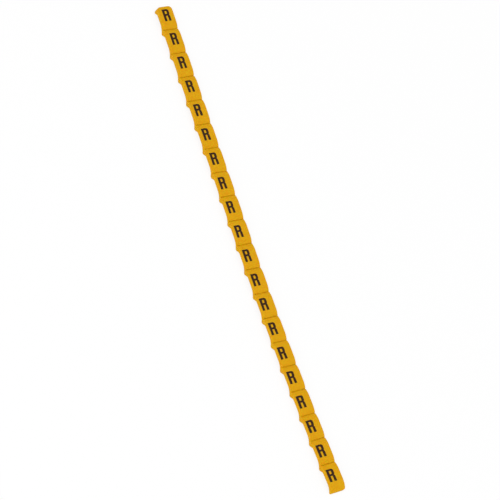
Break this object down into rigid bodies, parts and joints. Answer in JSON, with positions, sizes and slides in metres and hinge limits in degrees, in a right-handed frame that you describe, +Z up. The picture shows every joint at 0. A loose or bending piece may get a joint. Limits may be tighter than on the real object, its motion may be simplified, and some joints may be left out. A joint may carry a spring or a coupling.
{
  "type": "cable marker",
  "caption": "Flat moulded strip of snap-off cable marker plates joined end to end, with rounded faces, V joints, hollow backs and a small foot under each joint.",
  "frame": {"origin": "middle of the strip's bounding box, on the table under its feet", "axes": "+Z up out of the marked faces, +Y along the strip towards the top of the letters, +X to the reader's right"},
  "size_m": [0.0048, 0.0924, 0.0012],
  "materials": {
    "marker_plastic": "fine moulded satin, golden yellow"
  },
  "bodies": {
    "root": {"marker_strip": "marker_plastic"}
  },
  "joints": []
}
